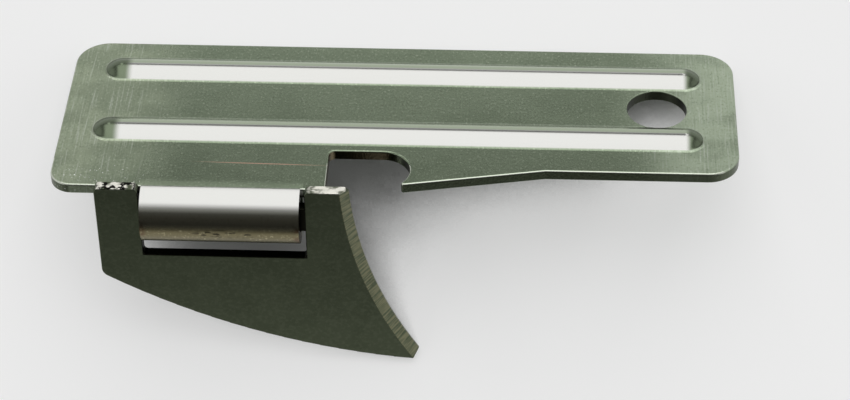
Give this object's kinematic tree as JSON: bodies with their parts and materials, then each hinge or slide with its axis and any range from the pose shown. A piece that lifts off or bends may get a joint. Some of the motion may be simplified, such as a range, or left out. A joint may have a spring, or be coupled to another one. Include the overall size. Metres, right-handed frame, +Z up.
{
  "type": "folding can opener",
  "caption": "Pocket folding can opener: ribbed stamped steel handle with rim notch and ring hole, and a hinged piercing blade shown open.",
  "frame": {"origin": "on the surface the part stands on, below the centre of its box", "axes": "+Z up with the opener standing on the blade's point and the handle's back edge; +X along the handle from the hinge end to the ring end; +Y from the blade to the handle's back edge"},
  "size_m": [0.051, 0.0244, 0.0129],
  "materials": {
    "handle_steel": "satin plated sheet steel with fine scratches",
    "blade_steel": "satin plated steel, ground along the cutting edge"
  },
  "bodies": {
    "handle_body": {"handle": "handle_steel"},
    "blade_body": {"blade": "blade_steel"}
  },
  "joints": [
    {"name": "blade_hinge", "type": "hinge", "parent": "handle_body", "child": "blade_body", "pos_m": [-0.01272, -0.00263, 0.01035], "axis": [1, 0, 0], "range_deg": [0, 96]}
  ]
}
